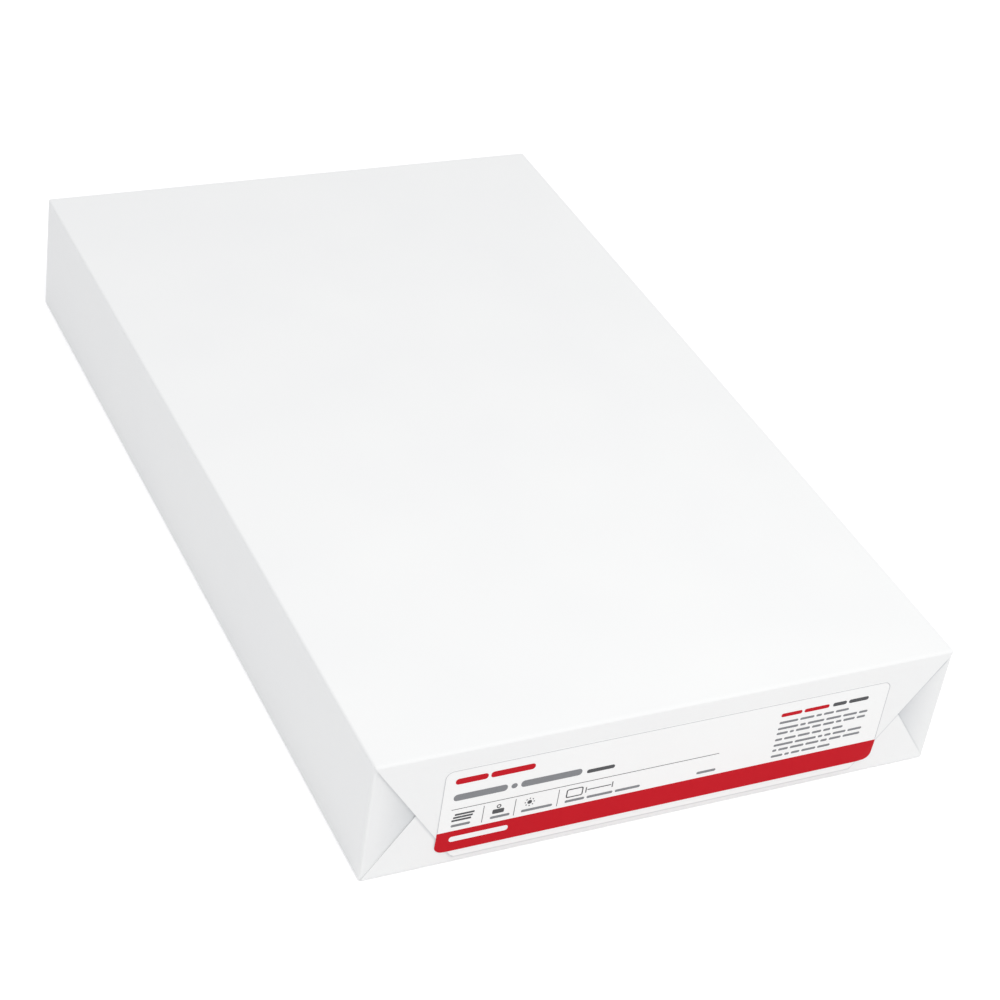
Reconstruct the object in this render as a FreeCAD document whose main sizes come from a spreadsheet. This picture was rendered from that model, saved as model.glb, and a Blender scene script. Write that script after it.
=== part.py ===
import FreeCAD, Part
import os

import Sketcher

# A sealed ream of legal-size copy paper, lying flat, in millimetres.
# X runs across the sheets, Y along them with the labelled end at -Y, and Z is up.
# The origin is at the middle of the underside.

SIZES = (
    # One sheet, and how many are in the pack.
    ("sheet_width", 215.9),
    ("sheet_length", 355.6),
    ("sheet_count", 500),
    ("sheet_caliper", 0.098),
    # The coated paper wrapper, and the radius that it takes round the stack's edges.
    ("wrap_thickness", 0.15),
    ("fold_radius", 1.0),
    # The long seam underneath: how far its free edge lies from the middle, towards -X.
    ("lap_offset", 12.0),
    # End folds: layers at a flap's slanted edge, the tuck's reach and how far its tip sinks in,
    # and the gap and corner radius of each flap's free edge.
    ("flap_layers", 2),
    ("tuck_reach", 17.0),
    ("tuck_sink", 1.2),
    ("flap_gap", 3.4),
    ("flap_corner_radius", 3.0),
    # The end label, by its gaps to the pack's edges.
    ("label_thickness", 0.1),
    ("label_side_gap", 24.6),
    ("label_shift", 0.6),
    ("label_top_gap", 8.1),
    ("label_foot_gap", 5.8),
    ("label_corner_radius", 3.0),
    # How far a cutting shape runs past what it trims.
    ("overrun", 5.0),
)

WIDTH = "(Sizes.sheet_width + 2 * Sizes.wrap_thickness)"
SIDE = f"({WIDTH} / 2)"
# The stack has one layer over it, and two under it where the seam laps.
STACK = "Sizes.sheet_count * Sizes.sheet_caliper"
HEIGHT = f"(Sizes.wrap_thickness + {STACK} + 2 * Sizes.wrap_thickness)"

# Overall lengths to the faces of the tucks, of the bottom flaps and of the top flaps over them.
FLAP_STEP = "(Sizes.flap_layers * Sizes.wrap_thickness)"
TUCK_LENGTH = "(Sizes.sheet_length + 2 * Sizes.wrap_thickness)"
LOW_LENGTH = f"({TUCK_LENGTH} + 2 * {FLAP_STEP})"
TOP_LENGTH = f"({LOW_LENGTH} + 2 * {FLAP_STEP})"

# Half width of a flap at its free edge. The slanted edges start at the pack's corners
# and cross at the tuck's tip, halfway up.
FLAP_DEPTH = f"({HEIGHT} - Sizes.flap_gap)"
FLAP_SLOPE = f"(2 * Sizes.tuck_reach / {HEIGHT})"
FREE_EDGE_SIDE = f"({SIDE} - {FLAP_SLOPE} * {FLAP_DEPTH})"

X_AXIS = FreeCAD.Vector(1, 0, 0)
Y_AXIS = FreeCAD.Vector(0, 1, 0)
Z_AXIS = FreeCAD.Vector(0, 0, 1)
PARALLEL = 0.999
CLEAR_OF_EDGE = 0.01


def make_sizes(doc):
    """Keep every driving size in a spreadsheet cell with an alias."""
    sheet = doc.addObject("Spreadsheet::Sheet", "Sizes")
    for row, (alias, value) in enumerate(SIZES, start=1):
        sheet.set(f"A{row}", alias)
        sheet.set(f"B{row}", str(value))
        sheet.setAlias(f"B{row}", alias)
    doc.recompute()


def new_body(doc, name):
    """An empty body for one piece or one shape that trims it."""
    return doc.addObject("PartDesign::Body", name)


def origin_plane(body, role):
    """The body's own origin plane, such as XY_Plane."""
    return next(item for item in body.Origin.OriginFeatures if item.Role == role)


def outline(body, name, role, corners, offset=None):
    """Closed outline on an origin plane, with each corner held by two expressions."""
    sketch = body.newObject("Sketcher::SketchObject", name)
    sketch.AttachmentSupport = (origin_plane(body, role), [""])
    sketch.MapMode = "FlatFace"
    if offset:
        sketch.setExpression("AttachmentOffset.Base.z", offset)
    points = [
        FreeCAD.Vector(sketch.evalExpression(across), sketch.evalExpression(up), 0)
        for across, up in corners
    ]
    count = len(points)
    for index, point in enumerate(points):
        sketch.addGeometry(Part.LineSegment(point, points[(index + 1) % count]))
    for index in range(count):
        sketch.addConstraint(Sketcher.Constraint("Coincident", index, 2, (index + 1) % count, 1))
    for index, (point, (across, up)) in enumerate(zip(points, corners)):
        for kind, value, size in (("DistanceX", point.x, across), ("DistanceY", point.y, up)):
            number = sketch.addConstraint(Sketcher.Constraint(kind, -1, 1, index, 1, value))
            label = f"{kind}_{index}"
            sketch.renameConstraint(number, label)
            sketch.setExpression(f"Constraints.{label}", size)
    return sketch


def pad(body, sketch, name, length, both_ways=True):
    """Extrude an outline, half to each side of its plane or all along its normal."""
    feature = body.newObject("PartDesign::Pad", name)
    feature.Profile = sketch
    feature.setExpression("Length", length)
    feature.Midplane = both_ways
    body.Document.recompute()
    return feature


def round_edges(body, feature, name, axis, radius, keep=lambda centre: True):
    """Fillet the edges that run along an axis and whose middle passes a test."""
    names = [
        f"Edge{number}"
        for number, edge in enumerate(feature.Shape.Edges, start=1)
        if abs(edge.tangentAt(edge.FirstParameter).dot(axis)) > PARALLEL
        and keep(edge.CenterOfMass)
    ]
    fillet = body.newObject("PartDesign::Fillet", name)
    fillet.Base = (feature, names)
    fillet.setExpression("Radius", radius)
    body.Document.recompute()
    return fillet


def boolean(doc, kind, name, shapes):
    """Common or fusion of several shapes."""
    result = doc.addObject(kind, name)
    result.Shapes = shapes
    result.Refine = True
    return result


def rectangle(half_width, low, high):
    """Corners of a rectangle that is centred across."""
    return (
        (f"-{half_width}", low),
        (half_width, low),
        (half_width, high),
        (f"-{half_width}", high),
    )


def pack_section(doc):
    """The pack seen from its end, all the way along: rounded long edges and the lap underneath.

    The inner layer shows on the -X side of the seam, one wrapper thickness up.
    """
    body = new_body(doc, "pack_section")
    corners = (
        (f"-{SIDE}", "Sizes.wrap_thickness"),
        ("-Sizes.lap_offset", "Sizes.wrap_thickness"),
        ("-Sizes.lap_offset", "0"),
        (SIDE, "0"),
        (SIDE, HEIGHT),
        (f"-{SIDE}", HEIGHT),
    )
    sketch = outline(body, "pack_section_outline", "XZ_Plane", corners)
    block = pad(body, sketch, "pack_section_pad", f"{TOP_LENGTH} + 2 * Sizes.overrun")
    lap_edge = sketch.evalExpression("Sizes.lap_offset")
    round_edges(
        body, block, "pack_long_edges", Y_AXIS, "Sizes.fold_radius",
        keep=lambda centre: abs(centre.x) > lap_edge + CLEAR_OF_EDGE,
    )
    return body


def end_profile(doc, name, length):
    """The pack seen from its side, all the way across, at one of its three overall lengths."""
    body = new_body(doc, name)
    corners = rectangle(f"({length} / 2)", "0", HEIGHT)
    sketch = outline(body, f"{name}_outline", "YZ_Plane", corners)
    block = pad(body, sketch, f"{name}_pad", f"{WIDTH} + 2 * Sizes.overrun")
    round_edges(body, block, f"{name}_end_edges", X_AXIS, "Sizes.fold_radius")
    return body


def tuck_plan(doc):
    """The pack seen from above at the tucks' faces, with the upright folds rounded."""
    body = new_body(doc, "tuck_plan")
    half_length = f"({TUCK_LENGTH} / 2)"
    corners = rectangle(SIDE, f"-{half_length}", half_length)
    sketch = outline(body, "tuck_plan_outline", "XY_Plane", corners)
    block = pad(body, sketch, "tuck_plan_pad", f"2 * {HEIGHT} + 2 * Sizes.overrun")
    round_edges(body, block, "upright_folds", Z_AXIS, "Sizes.fold_radius")
    return body


def flap_shape(doc, name, wide_level, free_level, round_free_corners):
    """Outline of a flap on both ends: as wide as the pack at its fold, narrower at its free edge."""
    body = new_body(doc, name)
    corners = (
        (f"-{SIDE}", wide_level),
        (f"-{FREE_EDGE_SIDE}", free_level),
        (FREE_EDGE_SIDE, free_level),
        (SIDE, wide_level),
    )
    sketch = outline(body, f"{name}_outline", "XZ_Plane", corners)
    plate = pad(body, sketch, f"{name}_pad", f"{TOP_LENGTH} + 2 * Sizes.overrun")
    if round_free_corners:
        free_height = sketch.evalExpression(free_level)
        wide_height = sketch.evalExpression(wide_level)
        round_edges(
            body, plate, f"{name}_free_corners", Y_AXIS, "Sizes.flap_corner_radius",
            keep=lambda centre: abs(centre.z - free_height) < abs(centre.z - wide_height),
        )
    return body


def tuck_recess(doc):
    """The hollow of one side tuck, which slants inwards from the upright fold to the tuck's tip."""
    face = new_body(doc, "tuck_face")
    triangle = (
        (f"{SIDE} - Sizes.tuck_reach", f"{HEIGHT} / 2"),
        (SIDE, "0"),
        (SIDE, HEIGHT),
    )
    sketch = outline(face, "tuck_face_outline", "XZ_Plane", triangle)
    pad(face, sketch, "tuck_face_pad", f"{TOP_LENGTH} + 2 * Sizes.overrun")

    slant = new_body(doc, "tuck_slant")
    fold_side = f"{SIDE} - Sizes.fold_radius"
    tip_side = f"{SIDE} - Sizes.tuck_reach"
    outside = f"-({TOP_LENGTH} / 2 + Sizes.overrun)"
    wedge = (
        (fold_side, f"-{TUCK_LENGTH} / 2"),
        (tip_side, f"-{TUCK_LENGTH} / 2 + Sizes.tuck_sink"),
        (tip_side, outside),
        (fold_side, outside),
    )
    sketch = outline(slant, "tuck_slant_outline", "XY_Plane", wedge)
    pad(slant, sketch, "tuck_slant_pad", f"2 * {HEIGHT} + 2 * Sizes.overrun")
    return boolean(doc, "Part::MultiCommon", "tuck_recess", [face, slant])


def mirrored(doc, name, source, normal):
    """Copy of a shape on the other side of a middle plane."""
    copy = doc.addObject("Part::Mirroring", name)
    copy.Source = source
    copy.Normal = normal
    return copy


def make_wrapped_ream(doc):
    """The sealed pack: the stack and the wrapper folded round it, with the same folds at both ends."""
    common = "Part::MultiCommon"
    tuck_profile = end_profile(doc, "tuck_profile", TUCK_LENGTH)
    core = boolean(doc, common, "core", [tuck_plan(doc), tuck_profile])

    low_shape = flap_shape(doc, "bottom_flap_shape", "0", FLAP_DEPTH, False)
    low_profile = end_profile(doc, "bottom_flap_profile", LOW_LENGTH)
    low_flaps = boolean(doc, common, "bottom_flaps", [low_profile, low_shape])

    top_shape = flap_shape(doc, "top_flap_shape", HEIGHT, "Sizes.flap_gap", True)
    top_profile = end_profile(doc, "top_flap_profile", TOP_LENGTH)
    top_flaps = boolean(doc, common, "top_flaps", [top_profile, top_shape])

    folded = boolean(doc, "Part::MultiFuse", "folded_pack", [core, low_flaps, top_flaps])
    trimmed = boolean(doc, common, "trimmed_pack", [folded, pack_section(doc)])

    right = tuck_recess(doc)
    left = mirrored(doc, "tuck_recess_left", right, X_AXIS)
    front = boolean(doc, "Part::MultiFuse", "front_recesses", [right, left])
    rear = mirrored(doc, "rear_recesses", front, Y_AXIS)
    recesses = boolean(doc, "Part::MultiFuse", "recesses", [front, rear])

    pack = doc.addObject("Part::Cut", "wrapped_ream")
    pack.Base = trimmed
    pack.Tool = recesses
    pack.Refine = True
    pack.Label = "wrapped_ream"
    return pack


def pocket(body, sketch, name, length, along_normal):
    """Cut an outline into the body, along its plane's normal or against it."""
    feature = body.newObject("PartDesign::Pocket", name)
    feature.Profile = sketch
    feature.setExpression("Length", length)
    feature.Reversed = along_normal
    body.Document.recompute()
    return feature


def make_end_label(doc):
    """The paper label. It lies on the top flap and steps down onto the bottom flap at its lower corners."""
    body = new_body(doc, "end_label")
    half_length = f"({SIDE} - Sizes.label_side_gap)"
    left = f"Sizes.label_shift - {half_length}"
    right = f"Sizes.label_shift + {half_length}"
    low = "Sizes.label_foot_gap"
    high = f"{HEIGHT} - Sizes.label_top_gap"
    low_plane = f"{LOW_LENGTH} / 2"
    corners = ((left, low), (right, low), (right, high), (left, high))
    sketch = outline(body, "label_outline", "XZ_Plane", corners, low_plane)
    plate = pad(body, sketch, "label_plate", f"{FLAP_STEP} + Sizes.label_thickness", both_ways=False)
    rounded = round_edges(body, plate, "label_corners", Y_AXIS, "Sizes.label_corner_radius")

    flap = (
        (f"-{SIDE}", HEIGHT),
        (f"-{FREE_EDGE_SIDE}", "Sizes.flap_gap"),
        (FREE_EDGE_SIDE, "Sizes.flap_gap"),
        (SIDE, HEIGHT),
    )
    sketch = outline(body, "label_back_outline", "XZ_Plane", flap, low_plane)
    back = pocket(body, sketch, "label_back", FLAP_STEP, along_normal=True)

    front_plane = f"{TOP_LENGTH} / 2 + Sizes.label_thickness"
    slant_low = f"({SIDE} - 2 * Sizes.tuck_reach + Sizes.label_thickness)"
    slant_high = f"({SIDE} + Sizes.label_thickness)"
    steps = []
    for side, sign in (("left", "-"), ("right", "")):
        outer = f"{sign}({SIDE} + Sizes.overrun)"
        corner = (
            (f"{sign}{slant_low}", "0"),
            (outer, "0"),
            (outer, HEIGHT),
            (f"{sign}{slant_high}", HEIGHT),
        )
        sketch = outline(body, f"label_{side}_step_outline", "XZ_Plane", corner, front_plane)
        steps.append(pocket(body, sketch, f"label_{side}_step", FLAP_STEP, along_normal=False))
    volumes = [round(feature.Shape.Volume, 2) for feature in (rounded, back, *steps)]
    print("end_label volume after its outline, back and side steps:", volumes)
    body.Label = "end_label"
    return body


def check(doc, pieces):
    """Stop if an object failed or a piece isn't one valid solid."""
    for item in doc.Objects:
        if "Invalid" in item.State or "Error" in item.State:
            raise RuntimeError(f"{item.Name} failed: {item.State}")
    for piece in pieces:
        shape = piece.Shape
        if shape.isNull() or not shape.isValid():
            raise RuntimeError(f"{piece.Label} has no valid shape")
        if len(shape.Solids) != 1:
            raise RuntimeError(f"{piece.Label} has {len(shape.Solids)} solids")


def main():
    doc = FreeCAD.newDocument("ream_of_paper")
    make_sizes(doc)
    pieces = [make_wrapped_ream(doc), make_end_label(doc)]
    doc.recompute()
    check(doc, pieces)
    os.makedirs("parts", exist_ok=True)
    for piece in pieces:
        piece.Shape.exportStep(f"parts/{piece.Label}.step")
        box = piece.Shape.BoundBox
        print(piece.Label, "volume", round(piece.Shape.Volume, 1), "box", box)


main()
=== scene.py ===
"""A sealed ream of legal-size copy paper with an end label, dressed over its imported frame.

Lengths are metres in the frame's own axes: X across the sheets, Y along them with the
labelled end at -Y, Z up, and the origin in the middle of the underside.
"""

import logging
import math
from collections.abc import Callable, Iterable
from dataclasses import dataclass, field
from enum import Enum

import bmesh
import bpy
from mathutils import Matrix, Vector


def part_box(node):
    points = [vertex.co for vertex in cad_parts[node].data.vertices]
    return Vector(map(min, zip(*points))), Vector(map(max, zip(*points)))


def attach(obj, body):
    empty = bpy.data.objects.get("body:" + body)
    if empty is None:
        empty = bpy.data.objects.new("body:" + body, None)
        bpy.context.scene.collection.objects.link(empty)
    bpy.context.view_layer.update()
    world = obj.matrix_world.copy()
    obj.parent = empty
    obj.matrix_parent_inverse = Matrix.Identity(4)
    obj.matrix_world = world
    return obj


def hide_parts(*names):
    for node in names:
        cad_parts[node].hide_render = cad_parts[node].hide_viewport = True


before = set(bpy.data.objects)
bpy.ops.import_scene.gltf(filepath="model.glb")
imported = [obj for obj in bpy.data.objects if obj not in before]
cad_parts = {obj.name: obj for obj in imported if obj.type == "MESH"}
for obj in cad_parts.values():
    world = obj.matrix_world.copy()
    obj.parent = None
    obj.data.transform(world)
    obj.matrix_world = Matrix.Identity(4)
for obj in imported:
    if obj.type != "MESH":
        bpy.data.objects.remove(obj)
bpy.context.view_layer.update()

MM = 0.001
BODY = "root"
REAM_NODE = "wrapped_ream"
LABEL_NODE = "end_label"
MERGE_DISTANCE = 1e-6
ON_PLANE = 2e-6
# Vertex attribute holding the share of painted shade: darker deep in the tucks, along the flaps' edges and at the
# seam's foot.
PAINTED_FOLD_SHADE = "painted_fold_shade"

log = logging.getLogger("ream")

FaceTest = Callable[[bmesh.types.BMFace], bool]


class Across(Enum):
    """The two halves of the pack, left and right when facing the label."""

    LEFT = -1
    RIGHT = 1


def srgb(code: str) -> tuple[float, float, float, float]:
    """Turn a hex colour into the linear values that a shader takes.

    Args:
        code: Six hex digits, such as "C41F28".

    Returns:
        Linear red, green, blue and alpha.
    """
    levels = [int(code[start:start + 2], 16) / 255 for start in (0, 2, 4)]
    linear = [
        level / 12.92 if level <= 0.04045 else ((level + 0.055) / 1.055) ** 2.4
        for level in levels
    ]
    return (linear[0], linear[1], linear[2], 1.0)


def clear_selection() -> None:
    """Deselect every object, so that the next operator acts on its own piece alone."""
    bpy.ops.object.select_all(action="DESELECT")


def start_editing(obj: bpy.types.Object) -> None:
    """Open one object in edit mode with nothing selected.

    Args:
        obj: The mesh object to edit.
    """
    clear_selection()
    obj.select_set(True)
    bpy.context.view_layer.objects.active = obj
    bpy.ops.object.mode_set(mode="EDIT")
    bpy.ops.mesh.select_mode(type="FACE")
    bpy.ops.mesh.select_all(action="DESELECT")


def stop_editing() -> None:
    """Go back to object mode."""
    bpy.ops.object.mode_set(mode="OBJECT")


def select_faces(obj: bpy.types.Object, wanted: FaceTest) -> int:
    """Select the faces that pass a test, and only those.

    Args:
        obj: The object that is open in edit mode.
        wanted: Says whether a face is selected. It still sees what was selected before.

    Returns:
        How many faces are selected.
    """
    mesh = bmesh.from_edit_mesh(obj.data)
    chosen = [face for face in mesh.faces if wanted(face)]
    bpy.ops.mesh.select_all(action="DESELECT")
    for face in chosen:
        face.select_set(True)
    bmesh.update_edit_mesh(obj.data)
    return len(chosen)


def cut(obj: bpy.types.Object, wanted: FaceTest, point: Vector, normal: Vector) -> None:
    """Cut the chosen faces along a plane, keeping both sides.

    Args:
        obj: The object that is open in edit mode.
        wanted: Says whether a face is cut.
        point: A point on the plane.
        normal: The plane's normal.
    """
    if select_faces(obj, wanted):
        bpy.ops.mesh.bisect(plane_co=point, plane_no=normal)


def move_vertices(obj: bpy.types.Object, shift: Callable[[Vector], Vector], selected_only: bool) -> None:
    """Move vertices of the edited mesh by an amount that depends on their place.

    Args:
        obj: The object that is open in edit mode.
        shift: Gives the move for a vertex at a place.
        selected_only: Leaves out what isn't selected.
    """
    mesh = bmesh.from_edit_mesh(obj.data)
    for vertex in mesh.verts:
        if vertex.select or not selected_only:
            vertex.co += shift(vertex.co)
    bmesh.update_edit_mesh(obj.data)


def merge_and_face_out() -> None:
    """Merge doubled vertices of the edited mesh and point its faces outwards."""
    bpy.ops.mesh.select_all(action="SELECT")
    bpy.ops.mesh.remove_doubles(threshold=MERGE_DISTANCE)
    bpy.ops.mesh.normals_make_consistent(inside=False)


def apply_modifier(obj: bpy.types.Object, kind: str, **settings: object) -> None:
    """Add a modifier to an object, set it up and apply it.

    Args:
        obj: The object.
        kind: The modifier's type, such as "SOLIDIFY".
        settings: The modifier's own settings.
    """
    clear_selection()
    obj.select_set(True)
    bpy.context.view_layer.objects.active = obj
    modifier = obj.modifiers.new(kind.lower(), kind)
    for name, value in settings.items():
        setattr(modifier, name, value)
    bpy.ops.object.modifier_apply(modifier=modifier.name)


def open_edges(obj: bpy.types.Object) -> int:
    """Count the edges of a mesh that don't have exactly two faces."""
    mesh = bmesh.new()
    mesh.from_mesh(obj.data)
    count = sum(1 for edge in mesh.edges if len(edge.link_faces) != 2)
    mesh.free()
    return count


@dataclass(frozen=True)
class PackSizes:
    """Sizes of the folded pack. The outer ones come from the frame."""

    side: float
    half_length: float
    height: float
    layer: float = 0.15 * MM
    flap_layers: int = 2
    fold_radius: float = 1.0 * MM
    tuck_reach: float = 17.0 * MM
    tuck_band: float = 2.4 * MM
    tuck_sink: float = 1.0 * MM
    tuck_hold: float = 0.15
    tuck_hold_width: float = 5.0 * MM
    undercut: float = 0.3 * MM
    flap_gap: float = 3.4 * MM
    curl_width: float = 2.4 * MM
    curl_lift: float = 0.35 * MM
    # Width of the painted shade lines beside the flaps' edges and the seam.
    shade_line_width: float = 0.8 * MM
    hidden_width: float = 0.9 * MM
    hidden_below: float = 0.55 * MM
    corner_fade: float = 1.4 * MM
    flap_corner: float = 3.0 * MM
    lap_offset: float = 12.0 * MM
    # Strength of the painted shade line at the foot of the lapped seam.
    seam_shade: float = 0.6

    @property
    def flap_step(self) -> float:
        """How far a flap's face stands off what it lies on."""
        return self.flap_layers * self.layer

    @property
    def tuck_plane(self) -> float:
        """Distance from the middle to the faces of the tucks."""
        return self.half_length - 2 * self.flap_step

    @property
    def lower_face(self) -> float:
        """Distance from the middle to the faces of the bottom flaps."""
        return self.half_length - self.flap_step

    @property
    def middle_height(self) -> float:
        """Height of the tucks' tips."""
        return self.height / 2

    @classmethod
    def from_frame(cls) -> "PackSizes":
        """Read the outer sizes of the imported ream."""
        low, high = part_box(REAM_NODE)
        return cls(side=high.x, half_length=high.y, height=high.z)


@dataclass(frozen=True)
class Slant:
    """A slanted fold on the ends: a line from a corner of the pack to a tuck's tip."""

    sizes: PackSizes
    across: Across
    from_top: bool

    @property
    def start(self) -> Vector:
        """The corner that the fold starts at."""
        return Vector((self.across.value * self.sizes.side, 0, self.sizes.height if self.from_top else 0))

    @property
    def normal(self) -> Vector:
        """Unit normal in the plane of the end, towards the flap."""
        upward = 1 if self.from_top else -1
        inward = -self.across.value
        raw = Vector((inward * self.sizes.middle_height, 0, upward * self.sizes.tuck_reach))
        return raw.normalized()

    def beyond(self, place: Vector) -> float:
        """Distance of a place from the fold, positive on the flap.

        Args:
            place: A point on or near an end.

        Returns:
            The signed distance.
        """
        return (place - self.start).dot(self.normal)


class Wrapper:
    """The folded wrapper round the stack, as one closed skin."""

    def __init__(self, sizes: PackSizes) -> None:
        """Keep the sizes and lay out the four slanted folds.

        Args:
            sizes: The pack's sizes.
        """
        self.sizes = sizes
        self.top_slants = {across: Slant(sizes, across, True) for across in Across}
        self.low_slants = {across: Slant(sizes, across, False) for across in Across}
        self.fold_segments = 6
        self.corner_cuts = 6
        self.tuck_strips = 9
        self.curl_cuts = 4
        self.hold_cuts = 3

    def on_cap(self, place: Vector) -> bool:
        """Say whether a place is on an end, its rounded edges included."""
        return abs(place.y) > self.sizes.tuck_plane - self.sizes.fold_radius + ON_PLANE

    def under_top_flap(self, place: Vector) -> bool:
        """Say whether a place lies within the top flap's outline, rounded corners included."""
        if place.z < self.sizes.flap_gap:
            return False
        if any(slant.beyond(place) < 0 for slant in self.top_slants.values()):
            return False
        return all(
            (place - point).dot(normal) > 0
            for across in Across
            for point, normal in self.corner_lines(across)
        )

    def in_tuck(self, place: Vector, slack: float = 0.0) -> bool:
        """Say whether a place lies between the two slanted folds of a tuck.

        Args:
            place: A point on an end.
            slack: How far outside the folds still counts.

        Returns:
            True on a tuck.
        """
        across = Across.LEFT if place.x < 0 else Across.RIGHT
        slants = (self.top_slants[across], self.low_slants[across])
        return all(slant.beyond(place) < slack for slant in slants)

    def corner_lines(self, across: Across) -> list[tuple[Vector, Vector]]:
        """Tangents of the rounded corner between the top flap's slant and its free edge.

        Args:
            across: Which corner.

        Returns:
            A point and an inward normal for each tangent.
        """
        slant = self.top_slants[across].normal
        free = Vector((0, 0, 1))
        radius = self.sizes.flap_corner
        corner = self.flap_corner_point(across)
        half_angle = slant.angle(free) / 2
        middle = (slant + free).normalized()
        centre = corner + middle * (radius / math.cos(half_angle))
        turn = slant.cross(free).normalized()
        lines = []
        for number in range(1, self.corner_cuts):
            angle = 2 * half_angle * number / self.corner_cuts
            normal = Matrix.Rotation(angle, 3, turn) @ slant
            lines.append((centre - normal * radius, normal))
        return lines

    def flap_corner_point(self, across: Across) -> Vector:
        """Where the top flap's slant would meet its free edge."""
        sizes = self.sizes
        run = sizes.tuck_reach / sizes.middle_height * (sizes.height - sizes.flap_gap)
        return Vector((across.value * (sizes.side - run), 0, sizes.flap_gap))

    def build(self) -> bpy.types.Object:
        """Model the wrapper.

        Returns:
            The finished object.
        """
        obj = self.rounded_block()
        start_editing(obj)
        self.mark_folds(obj)
        self.raise_flaps(obj)
        self.curl_free_edges(obj)
        self.cut_folds_and_paint_shade(obj)
        self.sink_tucks(obj)
        self.lap_underside(obj)
        merge_and_face_out()
        stop_editing()
        return obj

    def rounded_block(self) -> bpy.types.Object:
        """A block as long as the tucks' faces, with every fold rounded."""
        sizes = self.sizes
        clear_selection()
        bpy.ops.mesh.primitive_cube_add(size=2, location=(0, 0, sizes.height / 2))
        obj = bpy.context.active_object
        obj.name = "folded_wrapper"
        obj.scale = (sizes.side, sizes.tuck_plane, sizes.height / 2)
        bpy.ops.object.transform_apply(location=True, rotation=True, scale=True)
        start_editing(obj)
        bpy.ops.mesh.select_all(action="SELECT")
        bpy.ops.mesh.bevel(
            offset=sizes.fold_radius, segments=self.fold_segments, profile=0.5, affect="EDGES"
        )
        stop_editing()
        return obj

    def mark_folds(self, obj: bpy.types.Object) -> None:
        """Cut the outlines of the flaps and tucks into both ends."""
        for across in Across:
            top = self.top_slants[across]
            low = self.low_slants[across]
            cut(obj, lambda face: self.on_cap(face.calc_center_median()), top.start, top.normal)
            cut(
                obj,
                lambda face: self.on_cap(face.calc_center_median())
                and top.beyond(face.calc_center_median()) < 0,
                low.start, low.normal,
            )
        free_edge = Vector((0, 0, self.sizes.flap_gap))
        cut(obj, self.flap_middle, free_edge, Vector((0, 0, 1)))
        for across in Across:
            for point, normal in self.corner_lines(across):
                cut(obj, self.flap_middle, point, normal)

    def flap_middle(self, face: bmesh.types.BMFace) -> bool:
        """Say whether a face lies on an end between the top flap's two slanted folds."""
        place = face.calc_center_median()
        return self.on_cap(place) and all(
            slant.beyond(place) > 0 for slant in self.top_slants.values()
        )

    def raise_flaps(self, obj: bpy.types.Object) -> None:
        """Raise both flaps off the tucks, and the top flap once more off the bottom one.

        Args:
            obj: The wrapper, open in edit mode.
        """
        def on_flaps(face: bmesh.types.BMFace) -> bool:
            place = face.calc_center_median()
            outward = face.normal.y * math.copysign(1, place.y) > 0.01
            return outward and self.on_cap(place) and not self.in_tuck(place)

        def on_top_flap(face: bmesh.types.BMFace) -> bool:
            return face.select and self.under_top_flap(face.calc_center_median())

        for wanted in (on_flaps, on_top_flap):
            select_faces(obj, wanted)
            self.raise_selected(obj)
        bpy.ops.mesh.select_all(action="SELECT")
        bpy.ops.mesh.remove_doubles(threshold=MERGE_DISTANCE)

    def raise_selected(self, obj: bpy.types.Object) -> None:
        """Raise the selected faces by a flap's thickness, fading out over the rounded fold.

        The flap lies on what is under it along a line just inside its own edge, so that
        a fine gap stays open under the edge.

        Args:
            obj: The wrapper, open in edit mode.
        """
        def shift(place: Vector) -> Vector:
            rise = self.sizes.flap_step / 2 * self.fold_share(place)
            return Vector((0, math.copysign(rise, place.y), 0))

        bpy.ops.mesh.extrude_region_move()
        move_vertices(obj, shift, selected_only=True)
        self.undercut_edges(obj)
        bpy.ops.mesh.extrude_region_move()
        move_vertices(obj, shift, selected_only=True)

    def fold_share(self, place: Vector) -> float:
        """Share of a flap's thickness at a place, from 0 where its end fold starts to 1 on the end."""
        sizes = self.sizes
        fold_start = sizes.tuck_plane - sizes.fold_radius
        return min(max((abs(place.y) - fold_start) / sizes.fold_radius, 0.0), 1.0)

    def undercut_edges(self, obj: bpy.types.Object) -> None:
        """Draw the feet of the freshly raised walls in under the raised faces.

        Args:
            obj: The wrapper, open in edit mode with the raised faces selected.
        """
        mesh = bmesh.from_edit_mesh(obj.data)
        mesh.normal_update()
        outward: dict[bmesh.types.BMVert, Vector] = {}
        for face in mesh.faces:
            corners = face.verts
            if face.select or not any(vertex.select for vertex in corners):
                continue
            for vertex in corners:
                if not vertex.select:
                    level = Vector((face.normal.x, 0, face.normal.z))
                    outward[vertex] = outward.get(vertex, Vector()) + level
        for vertex, direction in outward.items():
            if direction.length > ON_PLANE:
                reach = self.sizes.undercut * self.fold_share(vertex.co)
                vertex.co -= direction.normalized() * reach
        bmesh.update_edit_mesh(obj.data)

    def curl_free_edges(self, obj: bpy.types.Object) -> None:
        """Let the top flap's free edge stand off a little below the label, as a cut edge does.

        Args:
            obj: The wrapper, open in edit mode.
        """
        sizes = self.sizes

        def upper_layer(face: bmesh.types.BMFace) -> bool:
            place = face.calc_center_median()
            return abs(place.y) > sizes.lower_face + ON_PLANE and face.normal.y * place.y > 0

        for number in range(1, self.curl_cuts + 1):
            height = sizes.flap_gap + sizes.curl_width * number / self.curl_cuts
            cut(obj, upper_layer, Vector((0, 0, height)), Vector((0, 0, 1)))

        def shift(place: Vector) -> Vector:
            if abs(place.y) < sizes.lower_face + ON_PLANE:
                return Vector()
            share = 1 - (place.z - sizes.flap_gap) / sizes.curl_width
            lift = sizes.curl_lift * min(max(share, 0.0), 1.0) ** 2
            return Vector((0, math.copysign(lift, place.y), 0))

        move_vertices(obj, shift, selected_only=False)

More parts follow.
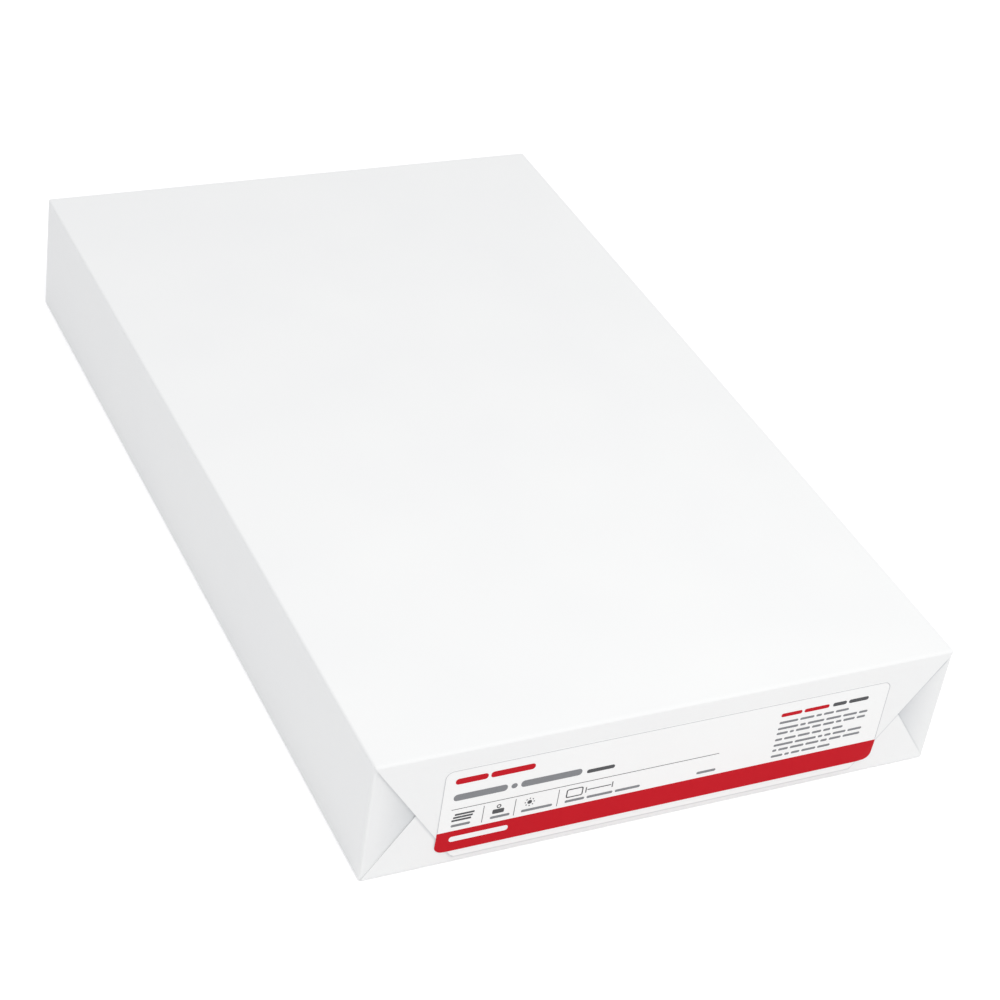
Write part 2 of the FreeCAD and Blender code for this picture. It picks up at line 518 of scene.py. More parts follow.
    def tuck_share(self, place: Vector) -> float:
        """How far across a tuck a place is, from 0 near its upright edge to 1 at its tip."""
        sizes = self.sizes
        width = sizes.tuck_reach - sizes.tuck_band
        return min(max((sizes.side - sizes.tuck_band - abs(place.x)) / width, 0.0), 1.0)

    def on_tuck_plane(self, place: Vector) -> bool:
        """Say whether a place is at the depth of the tucks' faces."""
        return abs(abs(place.y) - self.sizes.tuck_plane) < ON_PLANE

    def on_lower_face(self, place: Vector) -> bool:
        """Say whether a place is at the depth of the bottom flaps' faces."""
        return abs(abs(place.y) - self.sizes.lower_face) < ON_PLANE

    def cut_folds_and_paint_shade(self, obj: bpy.types.Object) -> None:
        """Cut the tucks into strips, mark a fine line along each flap's edge, and paint shade on both: darker towards
        each tuck's tip and along each line.

        Args:
            obj: The wrapper, open in edit mode.
        """
        sizes = self.sizes

        def tuck_face(face: bmesh.types.BMFace) -> bool:
            place = face.calc_center_median()
            return self.on_cap(place) and self.in_tuck(place, slack=0.05 * MM)

        def bottom_flap_face(face: bmesh.types.BMFace) -> bool:
            place = face.calc_center_median()
            return self.on_lower_face(place) and abs(face.normal.y) > 0.9

        strip = (sizes.tuck_reach - sizes.tuck_band) / self.tuck_strips
        for across in Across:
            for number in range(self.tuck_strips):
                place = across.value * (sizes.side - sizes.tuck_band - strip * number)
                cut(obj, tuck_face, Vector((place, 0, 0)), Vector((1, 0, 0)))
        for slant in (*self.top_slants.values(), *self.low_slants.values()):
            held = [sizes.tuck_hold_width * (number + 1) / self.hold_cuts
                    for number in range(self.hold_cuts)]
            for reach in (*self.shade_line_steps(slant), *held):
                cut(obj, tuck_face, slant.start - slant.normal * reach, slant.normal)
        for slant in self.top_slants.values():
            for reach in (sizes.flap_step, sizes.flap_step + sizes.shade_line_width):
                cut(obj, bottom_flap_face, slant.start - slant.normal * reach, slant.normal)
        for reach in (sizes.hidden_below, sizes.hidden_below + sizes.shade_line_width):
            free_edge = Vector((0, 0, sizes.flap_gap - reach))
            cut(obj, bottom_flap_face, free_edge, Vector((0, 0, 1)))
        # Paint shade into a vertex attribute, which the paper's material reads.
        mesh = bmesh.from_edit_mesh(obj.data)
        tone = mesh.verts.layers.float.new(PAINTED_FOLD_SHADE)
        for vertex in mesh.verts:
            vertex[tone] = self.painted_shade_at(vertex.co)
        bmesh.update_edit_mesh(obj.data)

    def corner_share(self, place: Vector) -> float:
        """How strong a fold's painted shade line is, from 0 at the rounded corner of the pack to 1 past it."""
        sizes = self.sizes
        return min(max((sizes.side - sizes.fold_radius - abs(place.x)) / sizes.corner_fade, 0.0), 1.0)

    def shade_line_steps(self, slant: Slant) -> tuple[float, float]:
        """Where the painted shade line beside a tuck's fold is full and where it has faded out.

        The flap's edge stands off and hides the start of the line on the right.
        """
        hidden = self.sizes.hidden_width if slant.from_top and slant.across is Across.RIGHT else 0.0
        return (hidden, hidden + self.sizes.shade_line_width)

    def painted_shade_at(self, place: Vector) -> float:
        """How much shade is painted on the paper at a place, from 0 on the open faces to 1 deep in a fold.

        Args:
            place: A vertex of the wrapper before the tucks are sunk.

        Returns:
            The share of the painted shade colour.
        """
        sizes = self.sizes
        # Painted shade on a tuck: darker towards its tip, with a darker line beside each slanted fold.
        if self.on_tuck_plane(place):
            across = Across.LEFT if place.x < 0 else Across.RIGHT
            share = self.tuck_share(place)
            deepest_shade = 0.42 if across is Across.LEFT else 0.58
            tone = 0.08 + deepest_shade * share ** 1.3
            for slant in (self.top_slants[across], self.low_slants[across]):
                full, gone = self.shade_line_steps(slant)
                fade = (gone + slant.beyond(place)) / (gone - full)
                strength = 0.0
                if slant.from_top:
                    strength = 0.35 + 0.35 * share if across is Across.LEFT else 0.7 + 0.3 * share
                elif across is Across.RIGHT:
                    strength = 0.3 + 0.45 * share
                tone = max(tone, strength * self.corner_share(place) * min(fade, 1.0))
            return min(tone, 1.0)
        # Painted shade on a bottom flap: a line beside the top flap's slants and below its free edge.
        if self.on_lower_face(place):
            beside = max(-slant.beyond(place) for slant in self.top_slants.values()) - sizes.flap_step
            below = sizes.flap_gap - place.z - sizes.hidden_below
            beside_shade = 0.3 if place.x < 0 else 0.6
            line = beside_shade * min(1 - max(beside, below) / sizes.shade_line_width, 1.0)
            if beside < -sizes.flap_step:
                line = 0.6 * min(1 - below / sizes.shade_line_width, 1.0)
            return max(line, 0.0)
        return 0.0

    def sink_tucks(self, obj: bpy.types.Object) -> None:
        """Bend each tuck inwards from its upright edge to its tip, and on under the flaps."""
        sizes = self.sizes

        def shift(place: Vector) -> Vector:
            if not self.on_tuck_plane(place):
                return Vector()
            across = Across.LEFT if place.x < 0 else Across.RIGHT
            slants = (self.top_slants[across], self.low_slants[across])
            outside = min(-slant.beyond(place) for slant in slants)
            clear = min(max(outside / sizes.tuck_hold_width, 0.0), 1.0)
            held = sizes.tuck_hold + (1 - sizes.tuck_hold) * clear
            depth = sizes.tuck_sink * held * (1 - (1 - self.tuck_share(place)) ** 1.6)
            return Vector((0, -math.copysign(depth, place.y), 0))

        move_vertices(obj, shift, selected_only=False)

    def lap_underside(self, obj: bpy.types.Object) -> None:
        """Lift the inner layer of the long seam underneath by one thickness, with a painted shade line at its foot."""
        sizes = self.sizes
        edge = -sizes.lap_offset

        def underside(face: bmesh.types.BMFace) -> bool:
            return face.normal.z < -0.999 and face.calc_center_median().z < ON_PLANE

        foot = edge - sizes.layer
        for place in (edge, foot, foot - sizes.shade_line_width):
            cut(obj, underside, Vector((place, 0, 0)), Vector((1, 0, 0)))
        # Painted shade: a grey line along the foot of the seam's step.
        mesh = bmesh.from_edit_mesh(obj.data)
        tone = mesh.verts.layers.float[PAINTED_FOLD_SHADE]
        for vertex in mesh.verts:
            if abs(vertex.co.x - foot) < ON_PLANE and vertex.co.z < ON_PLANE:
                vertex[tone] = sizes.seam_shade

        def shift(place: Vector) -> Vector:
            lifted = place.z < ON_PLANE and place.x < edge - sizes.layer / 2
            return Vector((0, 0, sizes.layer if lifted else 0))

        move_vertices(obj, shift, selected_only=False)


@dataclass(frozen=True)
class PaperFinish:
    """White paper: fibres, faint unevenness, a soft sheen, and painted shade where the mesh carries a fold shade
    share.
    """

    name: str
    light: str
    dark: str
    # Colour of the painted shade in the folds.
    fold_shade_colour: str
    roughness: float
    specular: float = 0.2
    fibre_size: float = 0.35 * MM
    fibre_depth: float = 0.012 * MM
    wave_size: float = 45.0 * MM
    wave_depth: float = 0.06 * MM

    def material(self) -> bpy.types.Material:
        """Make the paper's material.

        Returns:
            The material, which reads Object coordinates.
        """
        material = bpy.data.materials.new(self.name)
        material.use_nodes = True
        nodes = material.node_tree.nodes
        links = material.node_tree.links
        shader = nodes["Principled BSDF"]
        shader.inputs["Specular IOR Level"].default_value = self.specular
        coordinates = nodes.new("ShaderNodeTexCoord")

        fibres = nodes.new("ShaderNodeTexNoise")
        fibres.inputs["Scale"].default_value = 1 / self.fibre_size
        fibres.inputs["Detail"].default_value = 3.0
        waves = nodes.new("ShaderNodeTexNoise")
        waves.inputs["Scale"].default_value = 1 / self.wave_size
        waves.inputs["Detail"].default_value = 1.0
        for texture in (fibres, waves):
            links.new(coordinates.outputs["Object"], texture.inputs["Vector"])

        tone = nodes.new("ShaderNodeMix")
        tone.data_type = "RGBA"
        tone.inputs["A"].default_value = srgb(self.dark)
        tone.inputs["B"].default_value = srgb(self.light)
        blend = nodes.new("ShaderNodeMath")
        blend.operation = "MULTIPLY_ADD"
        blend.inputs[1].default_value = 0.35
        links.new(fibres.outputs["Fac"], blend.inputs[0])
        links.new(waves.outputs["Fac"], blend.inputs[2])
        blend.use_clamp = True
        links.new(blend.outputs["Value"], tone.inputs["Factor"])
        # Painted shade: mix the paper towards the fold shade colour by the mesh's painted shade attribute.
        depth = nodes.new("ShaderNodeAttribute")
        depth.attribute_name = PAINTED_FOLD_SHADE
        shade = nodes.new("ShaderNodeMix")
        shade.data_type = "RGBA"
        shade.inputs["B"].default_value = srgb(self.fold_shade_colour)
        links.new(depth.outputs["Fac"], shade.inputs["Factor"])
        links.new(tone.outputs["Result"], shade.inputs["A"])
        links.new(shade.outputs["Result"], shader.inputs["Base Color"])

        gloss = nodes.new("ShaderNodeMapRange")
        gloss.inputs["To Min"].default_value = self.roughness - 0.05
        gloss.inputs["To Max"].default_value = self.roughness + 0.05
        links.new(waves.outputs["Fac"], gloss.inputs["Value"])
        links.new(gloss.outputs["Result"], shader.inputs["Roughness"])

        wave_bump = nodes.new("ShaderNodeBump")
        wave_bump.inputs["Distance"].default_value = self.wave_depth
        links.new(waves.outputs["Fac"], wave_bump.inputs["Height"])
        fibre_bump = nodes.new("ShaderNodeBump")
        fibre_bump.inputs["Distance"].default_value = self.fibre_depth
        links.new(fibres.outputs["Fac"], fibre_bump.inputs["Height"])
        links.new(wave_bump.outputs["Normal"], fibre_bump.inputs["Normal"])
        links.new(fibre_bump.outputs["Normal"], shader.inputs["Normal"])
        return material


@dataclass(frozen=True)
class InkFinish:
    """Flat printing ink with a slight mottle from the paper under it."""

    name: str
    colour: str
    mottle: str
    roughness: float = 0.5
    specular: float = 0.04
    grain: float = 0.5 * MM

    def material(self) -> bpy.types.Material:
        """Make the ink's material.

        Returns:
            The material, which reads Object coordinates.
        """
        material = bpy.data.materials.new(self.name)
        material.use_nodes = True
        nodes = material.node_tree.nodes
        links = material.node_tree.links
        shader = nodes["Principled BSDF"]
        shader.inputs["Roughness"].default_value = self.roughness
        shader.inputs["Specular IOR Level"].default_value = self.specular
        coordinates = nodes.new("ShaderNodeTexCoord")
        grain = nodes.new("ShaderNodeTexNoise")
        grain.inputs["Scale"].default_value = 1 / self.grain
        grain.inputs["Detail"].default_value = 4.0
        links.new(coordinates.outputs["Object"], grain.inputs["Vector"])
        tone = nodes.new("ShaderNodeMix")
        tone.data_type = "RGBA"
        tone.inputs["A"].default_value = srgb(self.colour)
        tone.inputs["B"].default_value = srgb(self.mottle)
        links.new(grain.outputs["Fac"], tone.inputs["Factor"])
        links.new(tone.outputs["Result"], shader.inputs["Base Color"])
        bump = nodes.new("ShaderNodeBump")
        bump.inputs["Distance"].default_value = 0.004 * MM
        links.new(grain.outputs["Fac"], bump.inputs["Height"])
        links.new(bump.outputs["Normal"], shader.inputs["Normal"])
        return material


class Ink(Enum):
    """What the label's faces are made of or printed with."""

    PAPER = "label_paper"
    GREY = "grey_ink"
    PALE = "pale_grey_ink"
    RED = "red_ink"
    WHITE = "white_ink"
    HAIRLINE = "hairline_ink"


@dataclass(frozen=True)
class LabelSizes:
    """Outer sizes of the end label, from the frame, and its own small ones."""

    left: float
    right: float
    bottom: float
    top: float
    face: float
    thickness: float = 0.1 * MM
    corner_radius: float = 3.0 * MM
    band_height: float = 8.95 * MM
    hairline: float = 0.32 * MM
    ink_height: float = 0.015 * MM
    ink_root: float = 0.04 * MM
    drape_width: float = 4.0 * MM

    @property
    def band_top(self) -> float:
        """Height of the coloured band's upper edge."""
        return self.bottom + self.band_height

    @property
    def middle(self) -> float:
        """Height of the label's middle."""
        return (self.bottom + self.top) / 2

    @classmethod
    def from_frame(cls) -> "LabelSizes":
        """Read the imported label's place."""
        low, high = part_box(LABEL_NODE)
        return cls(left=low.x, right=high.x, bottom=low.z, top=high.z, face=low.y)


class Print:
    """Printed shapes, placed in millimetres from the label's upper left corner."""

    def __init__(self, label: LabelSizes) -> None:
        """Start with nothing printed.

        Args:
            label: The label's sizes.
        """
        self.label = label
        self.marks: list[tuple[bpy.types.Object, Ink]] = []
        self.depth = label.ink_height + label.ink_root
        self.middle_y = label.face + label.ink_root - self.depth / 2
        self.corner_steps = 4

    def place(self, across: float, down: float) -> Vector:
        """Turn a place on the label's layout into one in the frame.

        Args:
            across: Millimetres from the label's left edge.
            down: Millimetres from its top edge.

        Returns:
            The place, in metres, at the middle of the ink's depth.
        """
        return Vector((self.label.left + across * MM, self.middle_y, self.label.top - down * MM))

    def keep(self, ink: Ink) -> bpy.types.Object:
        """Take the shape that was just added as a mark in one ink."""
        obj = bpy.context.active_object
        bpy.ops.object.transform_apply(location=True, rotation=True, scale=True)
        self.marks.append((obj, ink))
        return obj

    def bar(self, left: float, right: float, top: float, bottom: float, ink: Ink, rounding: float) -> bpy.types.Object:
        """Print a bar with rounded corners.

        Args:
            left: Its left edge.
            right: Its right edge.
            top: Its top edge.
            bottom: Its bottom edge.
            ink: The ink.
            rounding: Corner radius as a share of half the bar's shorter side.

        Returns:
            The bar.
        """
        clear_selection()
        bpy.ops.mesh.primitive_cube_add(
            size=1,
            location=self.place((left + right) / 2, (top + bottom) / 2),
            scale=((right - left) * MM, self.depth, (bottom - top) * MM),
        )
        obj = self.keep(ink)
        radius = rounding * min(right - left, bottom - top) / 2 * MM
        if radius > 0:
            start_editing(obj)
            bpy.ops.mesh.select_mode(type="EDGE")
            mesh = bmesh.from_edit_mesh(obj.data)
            for edge in mesh.edges:
                along = edge.verts[0].co - edge.verts[1].co
                edge.select_set(abs(along.y) > self.depth / 2)
            bmesh.update_edit_mesh(obj.data)
            bpy.ops.mesh.bevel(offset=radius, segments=self.corner_steps, affect="EDGES")
            stop_editing()
        return obj

    def disc(self, across: float, down: float, radius: float, ink: Ink, sides: int = 24) -> bpy.types.Object:
        """Print a disc, or a regular shape of a few sides.

        Args:
            across: Its middle, from the left.
            down: Its middle, from the top.
            radius: Its radius.
            ink: The ink.
            sides: How many sides it has.

        Returns:
            The disc.
        """
        clear_selection()
        bpy.ops.mesh.primitive_cylinder_add(
            vertices=sides,
            radius=radius * MM,
            depth=self.depth,
            location=self.place(across, down),
            rotation=(math.radians(90), 0, 0),
        )
        return self.keep(ink)

    def hollow(self, obj: bpy.types.Object, stroke: float) -> None:
        """Leave only an outline of a mark.

        Args:
            obj: The mark.
            stroke: Width of the outline.
        """
        start_editing(obj)
        select_faces(obj, lambda face: abs(face.normal.y) > 0.9)
        bpy.ops.mesh.inset(thickness=stroke * MM)
        bpy.ops.mesh.bridge_edge_loops()
        stop_editing()

    def words(self, left: float, lengths: Iterable[float], gap: float, top: float, bottom: float, ink: Ink) -> None:
        """Print a row of pills, one after another.

        Args:
            left: Where the row starts.
            lengths: Length of each pill.
            gap: Space between two pills.
            top: Top edge of the row.
            bottom: Bottom edge of the row.
            ink: The ink.
        """
        for length in lengths:
            self.bar(left, left + length, top, bottom, ink, rounding=0.9)
            left += length + gap

    def stamp(self, sheet: bpy.types.Object, inks: dict[Ink, int]) -> None:
        """Join every mark to the sheet, as raised ink.

        Args:
            sheet: The flat label.
            inks: The material slot of each ink on the sheet.
        """
        for obj, ink in self.marks:
            for material in sheet.data.materials:
                obj.data.materials.append(material)
            for face in obj.data.polygons:
                face.material_index = inks[ink]
        clear_selection()
        for obj, _ in self.marks:
            obj.select_set(True)
        ink_layer = self.marks[0][0]
        bpy.context.view_layer.objects.active = ink_layer
        bpy.ops.object.join()
        start_editing(ink_layer)
        merge_and_face_out()
        stop_editing()
        apply_modifier(
            sheet, "BOOLEAN", operation="UNION", solver="EXACT", material_mode="TRANSFER", object=ink_layer
        )
        clear_selection()
        ink_layer.select_set(True)
        bpy.ops.object.delete()


class EndLabel:
    """The paper label over the folds: a band, fine rules, plain bars and small signs."""

    def __init__(self, label: LabelSizes, pack: PackSizes) -> None:
        """Keep the sizes.

        Args:
            label: The label's sizes.
            pack: The pack's sizes, for the step that the label lies over.
        """
        self.label = label
        self.pack = pack
        self.inks = {ink: number for number, ink in enumerate(Ink)}

    def build(self) -> bpy.types.Object:
        """Model the label.

        Returns:
            The finished object.
        """
        sheet = self.flat_sheet()
        layout = Print(self.label)
        self.print_headings(layout)
        self.print_signs(layout)
        self.print_fine_lines(layout)
        layout.stamp(sheet, self.inks)
        self.drape(sheet)
        return sheet

    def flat_sheet(self) -> bpy.types.Object:
        """A flat sheet with rounded corners, its band and hairline marked out."""
        label = self.label
        clear_selection()
        bpy.ops.mesh.primitive_cube_add(
            size=1,
            location=((label.left + label.right) / 2, label.face + label.thickness / 2, label.middle),
            scale=(label.right - label.left, label.thickness, label.top - label.bottom),
        )
        sheet = bpy.context.active_object
        sheet.name = "paper_label"
        bpy.ops.object.transform_apply(location=True, rotation=True, scale=True)
        self.dress(sheet)
        start_editing(sheet)
        bpy.ops.mesh.select_mode(type="EDGE")
        mesh = bmesh.from_edit_mesh(sheet.data)
        for edge in mesh.edges:
            along = edge.verts[0].co - edge.verts[1].co
            edge.select_set(abs(along.y) > label.thickness / 2)
        bmesh.update_edit_mesh(sheet.data)
        bpy.ops.mesh.bevel(offset=label.corner_radius, segments=12, affect="EDGES")
        bpy.ops.mesh.select_mode(type="FACE")
        band_edge = Vector((0, 0, label.band_top))
        cut(sheet, lambda face: True, band_edge, Vector((0, 0, 1)))

        def front(face: bmesh.types.BMFace) -> bool:
            return face.normal.y < -0.9

        def above_band(face: bmesh.types.BMFace) -> bool:
            return front(face) and face.calc_center_median().z > label.band_top

        self.paint(sheet, lambda face: front(face) and not above_band(face), Ink.RED)
        # A thin grey line round the label's edge above the band; the inset below keeps it to a rim.
        self.paint(sheet, above_band, Ink.HAIRLINE)
        select_faces(sheet, above_band)
        bpy.ops.mesh.inset(thickness=label.hairline)
        inside = label.band_top + label.hairline / 2 + ON_PLANE
        white_foot = label.band_top + label.hairline
        self.paint(
            sheet,
            lambda face: above_band(face) and (
                len(face.verts) > 4 or face.calc_center_median().z < white_foot - ON_PLANE < 2 * inside
                and max(vertex.co.z for vertex in face.verts) < white_foot + ON_PLANE
            ),
            Ink.PAPER,
        )
        stop_editing()
        return sheet

    def dress(self, sheet: bpy.types.Object) -> None:
        """Give the sheet its paper and its inks, one slot each."""
        finishes = {
            Ink.PAPER: PaperFinish(
                Ink.PAPER.value, light="FBFCFB", dark="F7F8F7", fold_shade_colour="F7F8F7", roughness=0.45
            ),
            Ink.GREY: InkFinish(Ink.GREY.value, colour="58595B", mottle="5E5F61"),
            Ink.PALE: InkFinish(Ink.PALE.value, colour="87898C", mottle="8E9093"),
            Ink.RED: InkFinish(Ink.RED.value, colour="CA1C28", mottle="C51926"),
            Ink.WHITE: InkFinish(Ink.WHITE.value, colour="FBFBFB", mottle="F5F5F5"),
            Ink.HAIRLINE: InkFinish(Ink.HAIRLINE.value, colour="D2D4D5", mottle="CCCECF"),
        }
        for ink in Ink:
            sheet.data.materials.append(finishes[ink].material())

    def paint(self, sheet: bpy.types.Object, wanted: FaceTest, ink: Ink) -> None:
        """Give the chosen faces of the edited sheet one ink."""
        if select_faces(sheet, wanted):
            sheet.active_material_index = self.inks[ink]
            bpy.ops.object.material_slot_assign()

    def print_headings(self, layout: Print) -> None:
        """The bars at the top left, the long rule and the bar in the band."""
        layout.words(3.9, (11.5, 15.8), 0.9, 3.7, 6.2, Ink.RED)
        layout.words(4.1, (19.1,), 0, 10.6, 13.4, Ink.PALE)
        layout.disc(25.6, 12.0, 1.1, Ink.PALE)
        layout.words(28.0, (22.1,), 0, 10.6, 13.4, Ink.PALE)
        layout.words(51.9, (10.3,), 0, 11.8, 13.4, Ink.GREY)
        layout.bar(4.05, 102.55, 17.0, 17.25, Ink.GREY, rounding=0)
        layout.words(4.75, (21.1,), 0, 29.2, 31.4, Ink.WHITE)

    def print_signs(self, layout: Print) -> None:
        """Four small signs between dividers: a pile, a weight, a sun and a page."""
        for across in (15.75, 27.15, 42.85):
            layout.bar(across - 0.12, across + 0.12, 18.2, 25.5, Ink.GREY, rounding=0)
        for number in range(3):
            layout.bar(4.6 + 0.45 * number, 11.6 + 0.45 * number, 21.7 - 1.25 * number,
                       22.5 - 1.25 * number, Ink.GREY, rounding=0.5)
        layout.hollow(layout.disc(21.2, 19.75, 0.85, Ink.GREY), 0.4)
        layout.bar(19.1, 23.3, 20.9, 22.8, Ink.GREY, rounding=0.5)
        self.print_sun(layout, 32.4, 20.85)
        layout.hollow(layout.bar(45.7, 51.9, 19.0, 22.8, Ink.GREY, rounding=0.4), 0.45)
        layout.bar(53.5, 62.3, 20.7, 21.1, Ink.GREY, rounding=0)
        for across in (53.0, 62.8):
            layout.bar(across - 0.2, across + 0.2, 19.7, 22.1, Ink.GREY, rounding=0)
        for left, lengths in (
            (4.65, (6.9,)), (18.55, (7.1,)), (29.75, (11.3,)), (45.65, (7.2, 9.6, 9.4)), (95.25, (7.3,)),
        ):
            layout.words(left, lengths, 0.9, 23.8, 24.9, Ink.PALE)

    def print_sun(self, layout: Print, across: float, down: float) -> None:
        """A disc with eight short rays.

        Args:
            layout: The print that it belongs to.
            across: Its middle, from the left.
            down: Its middle, from the top.
        """
        layout.disc(across, down, 0.85, Ink.GREY)
        rays = 8
        for number in range(rays):
            turn = math.tau * number / rays
            reach = 1.6
            layout.disc(
                across + reach * math.cos(turn), down + reach * math.sin(turn), 0.27, Ink.GREY, sides=8
            )

    def print_fine_lines(self, layout: Print) -> None:
        """The block at the right: a two-colour heading over seven fine lines."""
        layout.words(124.25, (8.2, 9.9), 0.9, 4.8, 6.4, Ink.RED)
        layout.words(144.7, (5.5, 7.9), 0.9, 4.8, 6.4, Ink.GREY)
        rows = (
            (9.0, (7.4, 5.6, 2.2, 4.0, 5.2)),
            (11.7, (8.0, 2.2, 6.6, 6.0, 5.6, 3.4)),
            (13.9, (4.4, 1.6, 5.6, 3.6, 4.4, 2.2, 4.6, 3.4)),
            (16.7, (2.8, 4.6, 4.8, 3.8, 2.8, 4.2)),
            (19.2, (7.6, 8.4, 1.8, 2.6, 5.2, 5.6)),
            (21.5, (1.6, 3.8, 5.4, 5.2, 2.6, 4.8, 6.8)),
            (24.2, (4.6, 1.8, 3.4, 5.6, 5.0)),
        )
        for middle, lengths in rows:
            layout.words(124.25, lengths, 0.8, middle - 0.5, middle + 0.5, Ink.PALE)

    def drape(self, sheet: bpy.types.Object) -> None:
        """Let the lower corners down over the slanted edges of the top flap."""
        steps = 8
        width = self.label.drape_width
        slants = [Slant(self.pack, across, True) for across in Across]
        start_editing(sheet)
        for slant in slants:
            for number in range(steps + 1):
                place = slant.start - slant.normal * (width * number / steps)
                cut(sheet, lambda face: True, place, slant.normal)

        def shift(place: Vector) -> Vector:
            outside = max(-slant.beyond(place) for slant in slants)
            share = min(max(outside / width, 0.0), 1.0)
            return Vector((0, self.pack.flap_step * share * share * (3 - 2 * share), 0))

        move_vertices(sheet, shift, selected_only=False)
        merge_and_face_out()
        stop_editing()


@dataclass(frozen=True)
class Camera:
    """The photograph's view: directions in degrees, distances in millimetres."""

    azimuth: float = -29.951
    elevation: float = 35.467
    roll: float = 9.421
    distance: float = 970.3
    right_of_origin: float = 20.81
    above_origin: float = 3.93
    lens: float = 90.08

    def build(self) -> bpy.types.Object:
        """Place the camera.

        Returns:
            The camera object.
        """
        azimuth = math.radians(self.azimuth)
        elevation = math.radians(self.elevation)
        back = Vector((
            math.sin(azimuth) * math.cos(elevation),
            -math.cos(azimuth) * math.cos(elevation),
            math.sin(elevation),
        ))
        level_right = Vector((0, 0, 1)).cross(back).normalized()
        turn = Matrix.Rotation(math.radians(self.roll), 3, back)
        right = turn @ level_right
        up = back.cross(right)
        place = right * self.right_of_origin + up * self.above_origin + back * self.distance
        data = bpy.data.cameras.new("camera")
        data.lens = self.lens
        data.clip_start = 0.01
        data.clip_end = 50
        obj = bpy.data.objects.new("camera", data)
        bpy.context.scene.collection.objects.link(obj)
        rotation = Matrix((right, up, back)).transposed().to_4x4()
        obj.matrix_world = Matrix.Translation(place * MM) @ rotation
        bpy.context.scene.camera = obj
        return obj


@dataclass(frozen=True)
class Lamp:
    """A square soft lamp that points at a place."""

    name: str
    place: tuple[float, float, float]
    aim: tuple[float, float, float]
    size: float
    watts: float
    colour: tuple[float, float, float] = (1.0, 0.985, 0.95)

    def build(self) -> None:
        """Add the lamp to the scene."""
        data = bpy.data.lights.new(self.name, "AREA")
        data.color = self.colour
        data.size = self.size
        data.energy = self.watts
        obj = bpy.data.objects.new(self.name, data)
        obj.location = self.place
        direction = Vector(self.aim) - Vector(self.place)
        obj.rotation_euler = direction.to_track_quat("-Z", "Y").to_euler()
        bpy.context.scene.collection.objects.link(obj)


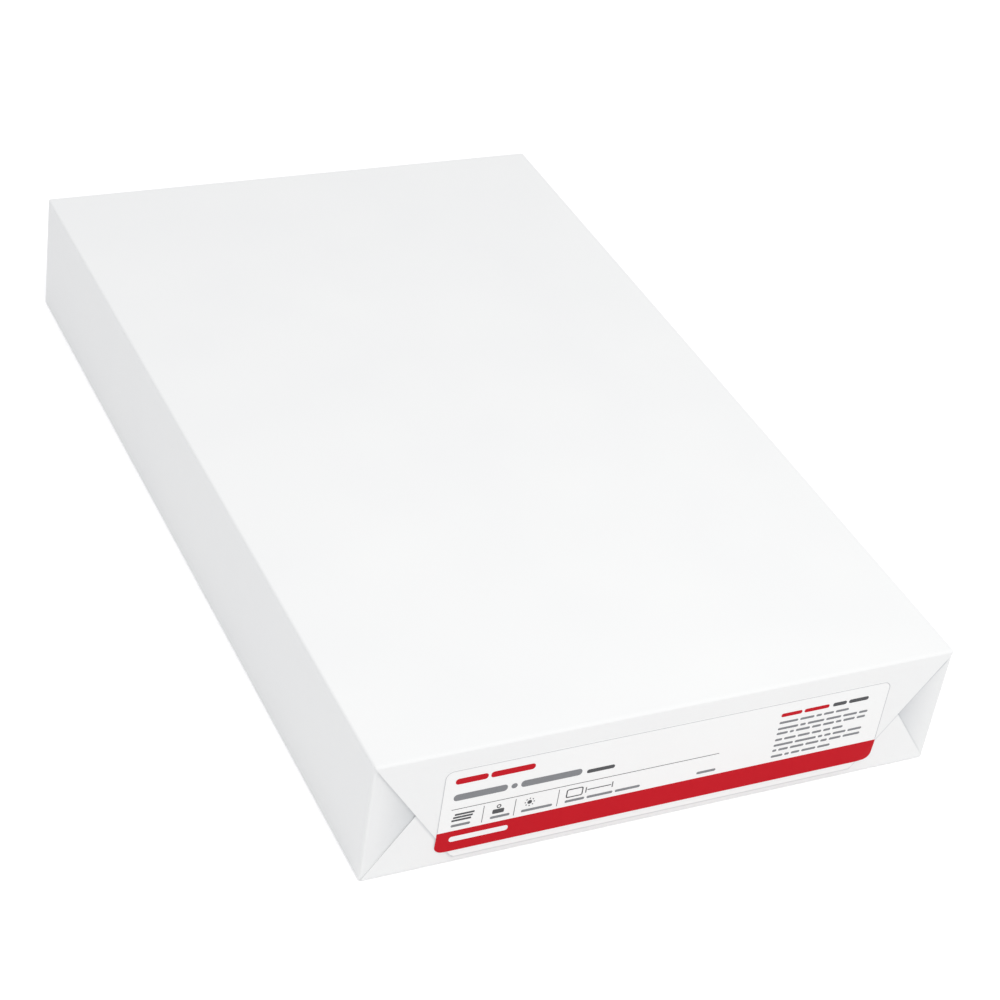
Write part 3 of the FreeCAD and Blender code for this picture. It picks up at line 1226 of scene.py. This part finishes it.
@dataclass(frozen=True)
class Studio:
    """Plain white surroundings: a pale floor, an even sky and soft lamps."""

    sky_strength: float = 0.755
    sky_colour: tuple[float, float, float] = (0.995, 0.995, 1.018)
    floor_bounce: float = 0.95
    floor_lift: float = 0.26
    floor_size: float = 12.0
    floor_drop: float = 0.05 * MM
    lamps: tuple[Lamp, ...] = (
        Lamp("key_lamp", (0.08, -0.46, 0.88), (0, -0.1, 0.02), 0.6, 2.75),
    )

    def build(self) -> None:
        """Add the floor, sky, lamps and camera."""
        self.build_floor()
        self.build_sky()
        for lamp in self.lamps:
            lamp.build()
        Camera().build()
        bpy.context.scene.view_settings.view_transform = "Standard"

    def build_floor(self) -> None:
        """A white floor that keeps shadows, and bounces less light than the camera sees."""
        clear_selection()
        bpy.ops.mesh.primitive_plane_add(size=self.floor_size, location=(0, 0, -self.floor_drop))
        floor = bpy.context.active_object
        floor.name = "floor"
        material = bpy.data.materials.new("white_floor")
        material.use_nodes = True
        nodes = material.node_tree.nodes
        links = material.node_tree.links
        nodes.remove(nodes["Principled BSDF"])
        output = nodes["Material Output"]
        seen = self.seen_directly(nodes, links)
        near = nodes.new("ShaderNodeBsdfDiffuse")
        near.inputs["Color"].default_value = (1, 1, 1, 1)
        bounce = nodes.new("ShaderNodeBsdfDiffuse")
        bounce.inputs["Color"].default_value = (self.floor_bounce,) * 3 + (1,)
        glow = nodes.new("ShaderNodeEmission")
        glow.inputs["Strength"].default_value = self.floor_lift
        bright = nodes.new("ShaderNodeAddShader")
        links.new(near.outputs["BSDF"], bright.inputs[0])
        links.new(glow.outputs["Emission"], bright.inputs[1])
        mix = nodes.new("ShaderNodeMixShader")
        links.new(seen, mix.inputs["Fac"])
        links.new(bounce.outputs["BSDF"], mix.inputs[1])
        links.new(bright.outputs["Shader"], mix.inputs[2])
        links.new(mix.outputs["Shader"], output.inputs["Surface"])
        floor.data.materials.append(material)

    def build_sky(self) -> None:
        """An even sky that the camera and gloss see as white."""
        world = bpy.data.worlds.new("sky")
        bpy.context.scene.world = world
        world.use_nodes = True
        nodes = world.node_tree.nodes
        links = world.node_tree.links
        background = nodes["Background"]
        lighting = nodes.new("ShaderNodeMix")
        lighting.data_type = "RGBA"
        level = [self.sky_strength * share for share in self.sky_colour]
        lighting.inputs["A"].default_value = (*level, 1)
        lighting.inputs["B"].default_value = (1, 1, 1, 1)
        links.new(self.seen_directly(nodes, links), lighting.inputs["Factor"])
        links.new(lighting.outputs["Result"], background.inputs["Color"])

    @staticmethod
    def seen_directly(nodes: bpy.types.Nodes, links: bpy.types.NodeLinks) -> bpy.types.NodeSocket:
        """Value 1 for what the camera sees, straight or in gloss or glass, and 0 otherwise."""
        path = nodes.new("ShaderNodeLightPath")
        total = path.outputs["Is Camera Ray"]
        for name in ("Is Glossy Ray", "Is Transmission Ray"):
            larger = nodes.new("ShaderNodeMath")
            larger.operation = "MAXIMUM"
            links.new(total, larger.inputs[0])
            links.new(path.outputs[name], larger.inputs[1])
            total = larger.outputs["Value"]
        return total


def finish_piece(obj: bpy.types.Object, node: str, smooth_below: float = 35.0) -> None:
    """Smooth a piece, seat it on the body and let it stand for its node.

    Args:
        obj: The finished mesh.
        node: The node that it stands for.
        smooth_below: Edges flatter than this angle, in degrees, shade as one surface.
    """
    clear_selection()
    obj.select_set(True)
    bpy.context.view_layer.objects.active = obj
    bpy.ops.object.shade_smooth_by_angle(angle=math.radians(smooth_below))
    apply_modifier(obj, "WEIGHTED_NORMAL", keep_sharp=True, weight=100)
    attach(obj, BODY)
    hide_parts(node)
    log.info("%s: %d faces, %d open edges", obj.name, len(obj.data.polygons), open_edges(obj))


def main() -> None:
    """Build every piece, dress it and set the studio round it."""
    logging.basicConfig(level=logging.INFO, format="%(message)s")
    sizes = PackSizes.from_frame()
    wrapper = Wrapper(sizes).build()
    # BCC0C4 is the painted shade in the tucks, along the flaps' edges and at the seam's foot.
    wrapper.data.materials.append(
        PaperFinish(
            "wrapper_paper", light="F7F8F7", dark="F3F4F4", fold_shade_colour="BCC0C4", roughness=0.55
        ).material()
    )
    finish_piece(wrapper, REAM_NODE)
    label = EndLabel(LabelSizes.from_frame(), sizes).build()
    finish_piece(label, LABEL_NODE)
    Studio().build()


if __name__ == "__main__":
    main()
